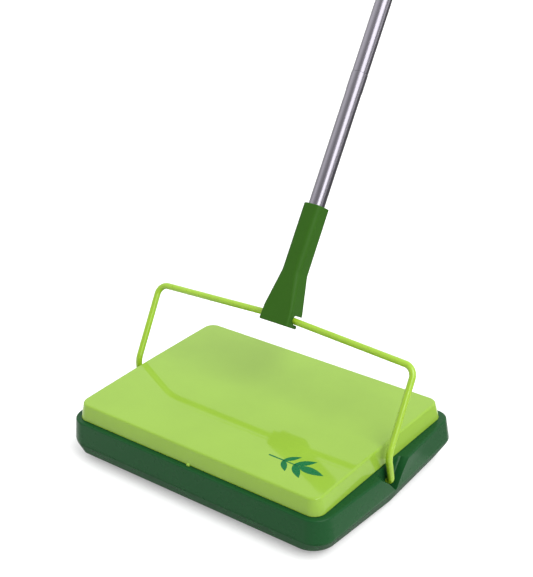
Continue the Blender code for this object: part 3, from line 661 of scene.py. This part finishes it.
def cover_rings(bottom, top):
    """The cover's outer skin: drafted walls and a full round at the top edge."""
    half_x, half_y, radius = COVER_FOOT
    slope = (half_x - COVER_HEAD[0]) / (top - bottom)
    shoulder = top - COVER_EDGE
    levels = [(bottom + height, inset) for height, inset in COVER_FOOT_ROUND]
    for k in range(COVER_ROUND_STEPS + 1):
        bend = k * pi / (2 * COVER_ROUND_STEPS)
        levels.append((shoulder + COVER_EDGE * sin(bend),
                       slope * (shoulder - bottom) + COVER_EDGE * (1 - cos(bend))))
    return [at_height(rectangle(half_x - inset, half_y - inset, radius - 0.5 * inset, 20), z)
            for z, inset in levels]


def add_screw_bosses(cover, top):
    """Four bosses under the cover's roof, each with a pilot hole for its screw."""
    low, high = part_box("cover_screw_rear_right")
    centre = (low + high) / 2
    foot = -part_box("cover")[0].z
    turn = Matrix.Rotation(pi / 2, 4, "Y")
    for x in (-centre.x, centre.x):
        for y in (-centre.y, centre.y):
            boss = rod("boss", -(top - OVERRUN), foot, BOSS_RADIUS, 32)
            boss.data.transform(turn)
            pilot = rod("pilot", -PILOT_TOP, foot + OVERRUN, PILOT_RADIUS, 24)
            pilot.data.transform(turn)
            join(cover, place(boss, x, y))
            cut(cover, place(pilot, x, y))


def make_cover(material):
    """The cover: a hollow lid with four screw bosses, and a small nib at the front."""
    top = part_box("cover")[1].z
    bottom = LEDGE_TOP + COVER_GAP
    cover = loft("cover_moulding", cover_rings(bottom, top), material)
    foot_inside = [size - COVER_WALL for size in COVER_FOOT]
    head_inside = [size - COVER_WALL for size in COVER_HEAD]
    cut(cover, loft("cover_hollow", [at_height(rectangle(*foot_inside, 8), bottom - OVERRUN),
                                     at_height(rectangle(*head_inside, 8), top - COVER_WALL)]))
    front = -COVER_FOOT[1]
    at_wall, at_tip = NIB_HEIGHTS
    nib = [(front + OVERRUN, bottom + at_wall), (front + OVERRUN, bottom), (front - NIB_REACH, bottom),
           (front - NIB_REACH, bottom + at_tip)]
    join(cover, across("nib", nib, NIB_REACH))
    add_screw_bosses(cover, top)
    crown(cover)
    finish_piece(cover, "body", "cover")


def crown(piece):
    """Lets the cover's top fall away to the front and rear, and sink slightly along two lines."""
    bm = bmesh.new()
    bm.from_mesh(piece.data)
    half_depth = COVER_HEAD[1]
    stations = [k * half_depth / CROWN_STEPS for k in range(1 - CROWN_STEPS, CROWN_STEPS)]
    stations += [y + shift for y in SINK_LINES for shift in (-SINK_HALF, 0.0, SINK_HALF)]
    for y in stations:
        bmesh.ops.bisect_plane(bm, geom=bm.verts[:] + bm.edges[:] + bm.faces[:], plane_co=(0, y, 0),
                               plane_no=(0, 1, 0))
    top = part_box("cover")[1].z
    for vert in bm.verts:
        fall = COVER_CROWN * min(1.0, abs(vert.co.y) / half_depth) ** CROWN_POWER
        sink = SINK_DEPTH * max(0.0, 1 - min(abs(vert.co.y - y) for y in SINK_LINES) / SINK_HALF)
        vert.co.z -= (fall + sink) * max(0.0, vert.co.z - LEDGE_TOP) / (top - LEDGE_TOP)
    bm.to_mesh(piece.data)
    bm.free()
    shade(piece)


def leaf(length):
    """A pointed leaf along +X from the origin, as an outline."""
    shares = [k / LEAF_STEPS for k in range(LEAF_STEPS + 1)]
    half = length * LEAF_WIDTH / 2
    upper = [(length * share, half * sin(pi * share ** 0.8) ** 0.9) for share in shares]
    return upper + [(x, -y) for x, y in reversed(upper[1:-1])]


def make_print(material):
    """A plain sprig of leaves, printed near the cover's front right corner."""
    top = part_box("cover")[1].z
    shapes = [(0.0, 0, STALK)] + [(along, turn, leaf(length)) for along, turn, length in LEAVES]
    bm = bmesh.new()
    for along, turn, outline in shapes:
        spin = Matrix.Rotation(radians(turn), 2)
        flat = [SPRIG_CENTRE + Vector((along, 0.0)) + spin @ Vector(point) for point in outline]
        lower = [bm.verts.new((*point, top - INK_BELOW)) for point in flat]
        upper = [bm.verts.new((*point, top + INK_ABOVE)) for point in flat]
        bm.faces.new(lower)
        bm.faces.new(upper)
        for i, vert in enumerate(lower):
            j = (i + 1) % len(lower)
            bm.faces.new((vert, lower[j], upper[j], upper[i]))
    printed = add_piece("printed_sprig", bm, material)
    crown(printed)
    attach(printed, "body")


def finish_piece(piece, body, node):
    even_shading(piece)
    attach(piece, body)
    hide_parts(node)


# ---------------------------------------------------------------- handle

def handle_frame():
    """From the handle's own axes, Z up the tube and Y to the rear, to the world."""
    along = Vector((0.0, sin(HANDLE_LEAN), cos(HANDLE_LEAN)))
    forward = Vector((0.0, -cos(HANDLE_LEAN), sin(HANDLE_LEAN)))
    foot = Vector(BAIL_POINTS[-1]) + forward * BAR_BEHIND - along * BAR_HEIGHT
    return Matrix.Translation(foot) @ Matrix.Rotation(-HANDLE_LEAN, 4, "X")


def on_handle(piece, node):
    """Turns a piece made along its own Z to its place on the handle."""
    piece.data.transform(handle_frame())
    finish_piece(piece, "handle", node)


def upright(piece):
    """Turns a piece made along X to lie along Z."""
    piece.data.transform(Matrix.Rotation(-pi / 2, 4, "Y"))
    return piece


def make_bail(material):
    """The bent wire, from its inner left end over the crossbar to its inner right end."""
    mirrored = [(-x, y, z) for x, y, z in reversed(BAIL_POINTS[:-1])]
    bends = BAIL_BENDS + list(reversed(BAIL_BENDS[:-1]))
    path = bent_path(BAIL_POINTS + mirrored, bends)
    finish_piece(sweep("bail_wire", path, BAIL_RADIUS, material), "handle", "bail")


def socket_ring(z):
    """The socket's outline at a height, with its kinks smoothed and both its ends rounded."""
    shifts = (-SOCKET_SPREAD, -SOCKET_SPREAD / 2, 0.0, SOCKET_SPREAD / 2, SOCKET_SPREAD)
    samples = [between(SOCKET_SECTIONS, min(max(z + shift, SOCKET_FOOT), SOCKET_TOP)) for shift in shifts]
    width, depth, centre_y, radius = [sum(values) / len(values) for values in zip(*samples)]
    near_end = max(0.0, SOCKET_FOOT + SOCKET_ROUND - z, z - (SOCKET_TOP - SOCKET_ROUND)) / SOCKET_ROUND
    inset = SOCKET_ROUND * (1 - (1 - near_end ** 2) ** 0.5)
    outline = rectangle(width / 2 - inset, depth / 2 - inset, radius, 10)
    return [(x, y + centre_y, z) for x, y in outline]


def hook_channel():
    """The space for the crossbar: half a circle over it, open to the rear and downwards."""
    turns = [pi * k / HOOK_STEPS for k in range(HOOK_STEPS + 1)]
    arc = [(BAR_BEHIND - HOOK_RADIUS * sin(turn), BAR_HEIGHT + HOOK_RADIUS * cos(turn)) for turn in turns]
    lip, rear = CHANNEL_WALLS
    return [*arc, (lip, BAR_HEIGHT - HOOK_RADIUS - HOOK_LIP), (lip, CHANNEL_BOTTOM), (rear, CHANNEL_BOTTOM),
            (rear, BAR_HEIGHT + HOOK_RADIUS)]


def make_socket(material):
    """The moulding that hooks over the crossbar: a flared foot that narrows to a square neck."""
    heights = [SOCKET_FOOT + k * SOCKET_ROUND / 3 for k in range(4)]
    heights += SOCKET_RINGS
    heights += [SOCKET_TOP - SOCKET_ROUND + k * SOCKET_ROUND / 3 for k in range(4)]
    socket = loft("handle_socket_moulding", [socket_ring(z) for z in heights], material)
    bore = rod("bore", SOCKET_BORE_START, SOCKET_TOP + OVERRUN, TUBE_RADIUS + SOCKET_BORE_FIT, 64)
    cut(socket, across("channel", hook_channel(), CHANNEL_HALF), upright(bore))
    soften(socket, SOCKET_EDGE, 3, 40.0)
    on_handle(socket, "handle_socket")


def tube_mouth(end):
    """The widened top end of a tube, as (height, radius): out to its rolled lip and back inside."""
    flare_start = end - MOUTH_LENGTH
    flare_end = flare_start + MOUTH_FLARE
    lip = TUBE_WALL / 2
    inside = MOUTH_RADIUS - TUBE_WALL
    return [(flare_start, TUBE_RADIUS), (flare_end, MOUTH_RADIUS), (end - lip, MOUTH_RADIUS),
            (end, MOUTH_RADIUS - 0.4 * lip), (end, MOUTH_RADIUS - 1.6 * lip), (end - lip, inside),
            (flare_end, inside), (flare_start, TUBE_RADIUS - TUBE_WALL)]


def tube_spigot(start):
    """The narrowed foot of a tube, which the tube below holds, as (height, radius) from the inside out."""
    spigot = start - SPIGOT_LENGTH
    return [(start + 0.001, TUBE_RADIUS - TUBE_WALL), (start - 0.001, SPIGOT_RADIUS - TUBE_WALL),
            (spigot, SPIGOT_RADIUS - TUBE_WALL), (spigot, SPIGOT_RADIUS), (start - 0.0006, SPIGOT_RADIUS),
            (start - 0.0002, TUBE_RADIUS - 0.0004), (start, TUBE_RADIUS - 0.0001),
            (start + 0.0003, TUBE_RADIUS)]


def make_tubes(material):
    """Thin tubes with rolled mouths; each upper one is narrowed to push into the one below.

    They keep their own Z axis, because the grain of the metal runs along it.
    """
    plain_foot = [(TUBE_START, TUBE_RADIUS - TUBE_WALL), (TUBE_START, TUBE_RADIUS)]
    feet = [plain_foot] + [tube_spigot(height + TUBE_GAP) for height in JOINT_HEIGHTS[:-1]]
    for number, (foot, end) in enumerate(zip(feet, JOINT_HEIGHTS), 1):
        tube = upright(turned(f"tube_section_{number}", foot + tube_mouth(end), material, 96))
        tube.matrix_world = handle_frame()
        finish_piece(tube, "handle", f"handle_tube_{number}")


def grip_levels():
    """The grip's half sizes upwards: a collar, a grooved and slightly swelling sleeve, a flattened head."""
    levels = [(z, radius, radius) for z, radius in GRIP_COLLAR]
    for k in range(GRIP_RINGS):
        rise = k * GRIP_RING_STEP
        radius = GRIP_BODY_RADIUS + GRIP_SWELL * sin(pi * rise / GRIP_BODY_LENGTH)
        if k % 4 == 2:
            radius -= GRIP_GROOVE
        levels.append((GRIP_BODY_START + rise, radius, radius))
    return levels + GRIP_HEAD


def make_grip(material):
    """A grooved sleeve on the tube's top end, flattened round the hole that it hangs by."""
    rings = [[(half_x * cos(tau * k / 64), half_y * sin(tau * k / 64), z) for k in range(64)]
             for z, half_x, half_y in grip_levels()]
    grip = loft("grip_sleeve", rings, material)
    height, radius = HANG_HOLE
    bore = rod("bore", GRIP_START - OVERRUN, JOINT_HEIGHTS[-1] + OVERRUN, MOUTH_RADIUS + GRIP_FIT, 64)
    cut(grip, upright(bore), place(rod("hang_hole", -0.02, 0.02, radius), z=height))
    on_handle(grip, "handle_grip")


# ---------------------------------------------------------------- running gear

def make_bristle_row(index, material):
    """One winding row of tufts, each a spray of tapered filaments."""
    row_random = Random(BRISTLE_SEED + index)
    root_radius = CORE_RADIUS + 0.0002
    bm = bmesh.new()
    for k in range(TUFTS):
        share = (k + 0.5) / TUFTS
        turn = tau * index / BRISTLE_ROWS + pi * share
        for _ in range(STRANDS):
            x = BRISTLE_HALF * (2 * share - 1)
            root_turn = turn + row_random.uniform(-0.09, 0.09)
            tip_turn = root_turn + row_random.uniform(-0.10, 0.10)
            root_x = x + row_random.uniform(-0.0011, 0.0011)
            tip_x = root_x + row_random.uniform(-0.0030, 0.0030)
            tip_x = max(-BRISTLE_HALF, min(BRISTLE_HALF, tip_x))
            reach = BRISTLE_RADIUS - row_random.uniform(0.0, 0.0012)
            root = Vector((root_x, root_radius * cos(root_turn), root_radius * sin(root_turn)))
            tip = Vector((tip_x, reach * cos(tip_turn), reach * sin(tip_turn)))
            add_filament(bm, root + BRUSH_AXIS, tip + BRUSH_AXIS)
    row = add_piece(f"bristles_{index + 1}", bm, material, 80.0)
    finish_piece(row, "brush", f"bristle_row_{index + 1}")


def add_filament(bm, root, tip):
    """A thin tapered rod from root to tip."""
    along = (tip - root).normalized()
    side = along.orthogonal().normalized()
    over = along.cross(side)
    ends = []
    for centre, radius in zip((root, tip), FILAMENT_RADII):
        ends.append([bm.verts.new(point) for point in circle(centre, side, over, radius, FILAMENT_SIDES)])
    low, high = ends
    bm.faces.new(low)
    bm.faces.new(high)
    for k in range(FILAMENT_SIDES):
        j = (k + 1) % FILAMENT_SIDES
        bm.faces.new((low[k], low[j], high[j], high[k]))


def press_grooves(piece, rim, depth, every, first):
    """Presses grooves across a rim, outside the given radius, at every so many of its steps."""
    for vert in piece.data.vertices:
        radius = (vert.co.y ** 2 + vert.co.z ** 2) ** 0.5
        step = round(atan2(vert.co.z, vert.co.y) / tau * RIM_STEPS)
        if radius > rim and step % every == first:
            shrink = (radius - depth) / radius
            vert.co.y *= shrink
            vert.co.z *= shrink


def mirrored_profile(profile):
    """A (x, radius) profile from the left end to the middle, and back the same way to the right end."""
    return profile + [(-x, radius) for x, radius in reversed(profile)]


def make_tyre(label, centre, material):
    """A tyre with a crowned tread, cut across by shallow grooves."""
    half = WHEEL_WIDTH / 2
    seat = TYRE_SEAT + TYRE_FIT
    shoulder = [(-half + 0.0003, seat), (-half, seat + 0.0004), (-half, WHEEL_RADIUS - 0.0016),
                (-half + 0.0004, WHEEL_RADIUS - 0.0006), (-half + 0.0014, WHEEL_RADIUS - 0.0001)]
    profile = mirrored_profile(shoulder)
    profile.insert(len(shoulder), (0.0, WHEEL_RADIUS))
    tyre = turned(f"tyre_{label}", profile, material, RIM_STEPS)
    press_grooves(tyre, WHEEL_RADIUS - TREAD_BAND, TREAD_DEPTH, 4, 2)
    place(tyre, *centre)
    finish_piece(tyre, f"wheel_{label}", f"wheel_tyre_{label}")


def make_hub(label, centre, material):
    """A hub with a boss, a thin web, a rim and six ribs."""
    half = WHEEL_WIDTH / 2
    chamfer = -half + HUB_CHAMFER
    boss = [(-half, AXLE_BORE), (-half, HUB_BOSS_RADIUS), (chamfer, HUB_BOSS_RADIUS + 0.0003),
            (-HUB_WEB, HUB_BOSS_RADIUS + 0.0007)]
    rim = [(-HUB_WEB, TYRE_SEAT - 0.0030), (chamfer, TYRE_SEAT - 0.0026), (-half, TYRE_SEAT - 0.0023),
           (-half, TYRE_SEAT)]
    hub = turned(f"hub_{label}", mirrored_profile(boss + rim), material, 64)
    low, high = (-half + 0.0012, 0.0050, -0.0006), (half - 0.0012, TYRE_SEAT - 0.0015, 0.0006)
    for k in range(HUB_RIBS):
        rib = box("rib", low, high)
        rib.data.transform(Matrix.Rotation(tau * k / HUB_RIBS, 4, "X"))
        join(hub, rib)
    place(hub, *centre)
    finish_piece(hub, f"wheel_{label}", f"wheel_hub_{label}")


def make_disc(label, material):
    """The disc on the brush rod that the wheels rub on, finely ribbed to grip."""
    floor = -DISC_HALF + DISC_RECESS
    corner = DISC_RADIUS - DISC_EDGE
    profile = [(-DISC_HALF, DISC_BORE), (-DISC_HALF, 0.0070), (floor, 0.0085), (floor, 0.0150),
               (-DISC_HALF, 0.0165), (-DISC_HALF, corner), (-DISC_HALF + DISC_EDGE, DISC_RADIUS),
               (DISC_HALF - DISC_EDGE, DISC_RADIUS), (DISC_HALF, corner), (DISC_HALF, DISC_BORE)]
    disc = turned(f"rubbing_disc_{label}", profile, material, RIM_STEPS)
    press_grooves(disc, DISC_RADIUS - DISC_RIB, DISC_RIB, 2, 1)
    low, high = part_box(f"drive_disc_{label}")
    place(disc, (low.x + high.x) / 2, BRUSH_AXIS.y, BRUSH_AXIS.z)
    finish_piece(disc, "brush", f"drive_disc_{label}")


# ---------------------------------------------------------------- studio

def flat_card(name, width, height, material):
    """A rectangle in its own XY plane, centred on its origin."""
    half_x, half_y = width / 2, height / 2
    corners = [(-half_x, -half_y, 0), (half_x, -half_y, 0), (half_x, half_y, 0), (-half_x, half_y, 0)]
    mesh = bpy.data.meshes.new(name)
    mesh.from_pydata(corners, [], [(0, 1, 2, 3)])
    mesh.materials.append(material)
    card = bpy.data.objects.new(name, mesh)
    bpy.context.scene.collection.objects.link(card)
    return card


def make_floor():
    """A plain pale floor, lit a little from within so that it runs into the surround."""
    surface = Surface("studio_floor", Roughness=0.9, Specular_IOR_Level=0.1, Base_Color=FLOOR_COLOUR,
                      Emission_Color=WHITE, Emission_Strength=FLOOR_GLOW)
    floor = flat_card("floor", 2 * FLOOR_REACH, 2 * FLOOR_REACH, surface.material)


def make_world():
    """A surround that is bright behind the sweeper and dim on the camera's side."""
    world = bpy.data.worlds.new("studio")
    world.use_nodes = True
    tree = world.node_tree
    direction = tree.nodes.new("ShaderNodeTexCoord").outputs["Generated"]
    towards_camera = tree.nodes.new("ShaderNodeVectorMath")
    towards_camera.operation = "DOT_PRODUCT"
    towards_camera.inputs[1].default_value = CAMERA_SIDE
    brightness = tree.nodes.new("ShaderNodeMapRange")
    brightness.interpolation_type = "SMOOTHSTEP"
    numbers = (*SURROUND_RANGE, SURROUND_BRIGHT, SURROUND_DIM)
    for socket, number in zip(("From Min", "From Max", "To Min", "To Max"), numbers):
        brightness.inputs[socket].default_value = number
    tree.links.new(direction, towards_camera.inputs[0])
    tree.links.new(towards_camera.outputs["Value"], brightness.inputs["Value"])
    tree.links.new(brightness.outputs["Result"], tree.nodes["Background"].inputs["Color"])
    bpy.context.scene.world = world


def make_key_light():
    """A broad light from above the sweeper's right side."""
    key = bpy.data.objects.new("key", bpy.data.lights.new("key", "SUN"))
    key.data.energy = KEY_LIGHT
    key.data.angle = KEY_SPREAD
    key.rotation_euler = Vector(KEY_FROM).to_track_quat("Z", "Y").to_euler()
    bpy.context.scene.collection.objects.link(key)


def make_reflection_card(name, centre, facing, width, height, brightness):
    """A glowing card that only shows up in reflections, the way a studio shapes the gloss; the one under the
    base is painted shade.
    """
    surface = Surface(name, Base_Color=BLACK, Roughness=1.0, Emission_Color=WHITE,
                      Emission_Strength=brightness)
    card = flat_card(name, width, height, surface.material)
    card.location = centre
    card.rotation_euler = (Vector(facing) - Vector(centre)).to_track_quat("Z", "Y").to_euler()
    card.visible_camera = False
    card.visible_diffuse = False
    card.visible_shadow = False


def make_camera():
    right, forward = Vector(CAMERA_RIGHT), Vector(CAMERA_FORWARD)
    data = bpy.data.cameras.new("camera")
    data.lens = CAMERA_LENS
    camera = bpy.data.objects.new("camera", data)
    turn = Matrix((right, right.cross(forward), -forward)).transposed()
    camera.matrix_world = Matrix.Translation(CAMERA_AT) @ turn.to_4x4()
    bpy.context.scene.collection.objects.link(camera)
    bpy.context.scene.camera = camera


# ---------------------------------------------------------------- assembly

def paint(material, *nodes):
    """Gives carried-over CAD nodes their material."""
    for name in nodes:
        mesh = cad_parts[name].data
        mesh.materials.clear()
        mesh.materials.append(material)


def make_studio():
    """The camera, the floor and the light."""
    make_camera()
    make_floor()
    make_world()
    make_key_light()
    for card in CARDS:
        make_reflection_card(*card)
    bpy.context.scene.view_settings.view_transform = "Standard"


def make_body():
    """The two shells, the print, and the bail's bushes in them."""
    lime = moulded_plastic("lime_plastic", (0.212, 0.355, 0.036), 0.06, 0.03, wave=0.00002, gloss=0.30)
    green = moulded_plastic("green_plastic", (0.007, 0.058, 0.015), 0.28, 0.1, gloss=0.10)
    ink = printed_ink("dark_green_ink", (0.001, 0.110, 0.030))
    make_base(green)
    make_cover(lime)
    make_print(ink)
    paint(green, "bail_bush_left", "bail_bush_right")


def make_handle():
    """What tilts: the bail, the socket, the tubes and the grip."""
    socket_green = moulded_plastic("socket_green_plastic", (0.026, 0.090, 0.008), 0.45, 0.3, gloss=0.06)
    make_bail(powder_coat("lime_powder_coat", (0.255, 0.425, 0.018)))
    make_socket(socket_green)
    make_tubes(drawn_metal("drawn_aluminium", (0.30, 0.285, 0.325), 0.24, (1.0, 1.0, 60.0)))
    make_grip(socket_green)


def make_running_gear():
    """The brush and wheels, and the small parts, brackets and pans that the CAD nodes show."""
    black = moulded_plastic("black_plastic", (0.018, 0.018, 0.019), 0.45, 0.5)
    nylon = moulded_plastic("natural_nylon", (0.62, 0.60, 0.53), 0.4, 0.3)
    grey_rubber = rubber("grey_rubber", (0.045, 0.045, 0.047))
    bristle = nylon_bristle("nylon_bristle")
    plated = zinc("zinc_plated_steel")
    for index in range(BRISTLE_ROWS):
        make_bristle_row(index, bristle)
    for side in SIDES:
        make_disc(side, grey_rubber)
        for end in ENDS:
            label = f"{end}_{side}"
            low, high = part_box(f"wheel_tyre_{label}")
            centre = (low + high) / 2
            make_tyre(label, centre, grey_rubber)
            make_hub(label, centre, black)
            paint(plated, f"wheel_axle_{label}", f"cover_screw_{label}")
        paint(black, f"wheel_bracket_{side}")
        paint(nylon, f"brush_bearing_{side}")
        paint(plated, f"wheel_spring_{side}", f"bail_cap_{side}")
    paint(black, "brush_core", "front_dust_pan", "rear_dust_pan")
    paint(plated, "brush_rod", "front_pan_hinge_rod", "rear_pan_hinge_rod")


make_body()
make_handle()
make_running_gear()
make_studio()
